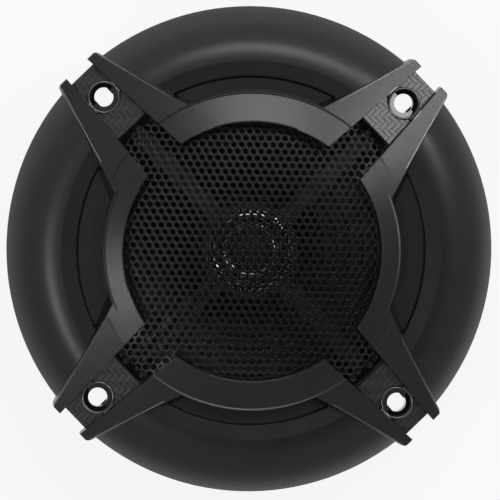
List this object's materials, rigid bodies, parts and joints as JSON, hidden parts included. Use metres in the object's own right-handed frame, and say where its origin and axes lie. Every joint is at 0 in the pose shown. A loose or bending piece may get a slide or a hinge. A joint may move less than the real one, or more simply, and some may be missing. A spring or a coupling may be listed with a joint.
{
  "type": "coaxial car speaker",
  "caption": "Round two-way car-door speaker with a moulded grille, diagonal arms, a perforated mesh, a bridge-mounted tweeter and blade terminals.",
  "frame": {"origin": "centre of the mounting face, on the speaker's axis, in the plane of the panel it is screwed to", "axes": "+Z along the speaker's axis out of the panel towards the listener; the terminals are on the -Y side, which is down when it is mounted; the arms point along the diagonals of X and Y"},
  "size_m": [0.153, 0.153, 0.0662],
  "materials": {
    "moulded_black": "fine-grained moulded ABS",
    "mesh_paint": "gloss-painted perforated steel",
    "carbon_look": "moulded twill weave under clear gloss",
    "basket_paint": "textured black paint on pressed steel",
    "gasket_foam": "closed-cell foam",
    "cone_black": "mica-filled moulded polypropylene",
    "surround_rubber": "butyl rubber",
    "spider_cloth": "resin-treated cloth",
    "former_film": "amber polyimide film",
    "copper_wire": "enamelled copper winding",
    "tinsel_braid": "braided tinsel",
    "zinc_steel": "zinc-plated steel",
    "ferrite": "sintered ferrite",
    "gloss_black": "polished black ABS",
    "magnet_nickel": "nickel-plated neodymium",
    "dome_film": "coated soft-dome cloth",
    "flare_chrome": "vacuum-metallised plastic",
    "screw_black": "black-oxide steel",
    "wire_sleeve": "flexible sleeve",
    "board_fibre": "phenolic paper board",
    "terminal_brass": "gold-flashed brass",
    "terminal_tin": "tinned brass",
    "can_sleeve": "heat-shrunk sleeve"
  },
  "bodies": {
    "frame": {"grille_bezel": "moulded_black", "mesh_retainer": "moulded_black", "grille_mesh": "mesh_paint", "arm_plate_ne": "carbon_look", "arm_plate_nw": "carbon_look", "arm_plate_sw": "carbon_look", "arm_plate_se": "carbon_look", "basket": "basket_paint", "mounting_gasket": "gasket_foam", "surround": "surround_rubber", "surround_ring": "moulded_black", "spider": "spider_cloth", "tinsel_leads": "tinsel_braid", "top_plate": "zinc_steel", "magnet": "ferrite", "yoke": "zinc_steel", "plate_rivets": "zinc_steel", "tweeter_body": "gloss_black", "tweeter_yoke": "zinc_steel", "tweeter_magnet": "magnet_nickel", "tweeter_plate": "zinc_steel", "tweeter_surround": "dome_film", "tweeter_flare": "flare_chrome", "tweeter_bridge": "gloss_black", "bridge_screws": "screw_black", "tweeter_wires": "wire_sleeve", "terminal_board": "board_fibre", "terminal_positive": "terminal_brass", "terminal_negative": "terminal_tin", "terminal_rivets": "terminal_tin", "board_screws": "screw_black", "crossover_capacitor": "can_sleeve", "capacitor_leads": "terminal_tin"},
    "cone_assembly": {"cone": "cone_black", "dust_cap": "cone_black", "voice_coil_former": "former_film", "voice_coil": "copper_wire"},
    "tweeter_diaphragm": {"tweeter_dome": "dome_film", "tweeter_coil": "copper_wire"}
  },
  "joints": [
    {"name": "cone_travel", "type": "slide", "parent": "frame", "child": "cone_assembly", "axis": [0, 0, 1], "range_m": [-0.003, 0.003], "stiffness_N_per_m": 1500, "deforming": ["surround", "spider", "tinsel_leads"]},
    {"name": "tweeter_travel", "type": "slide", "parent": "frame", "child": "tweeter_diaphragm", "axis": [0, 0, 1], "range_m": [-0.00025, 0.00025], "stiffness_N_per_m": 1500, "deforming": ["tweeter_surround"]}
  ]
}
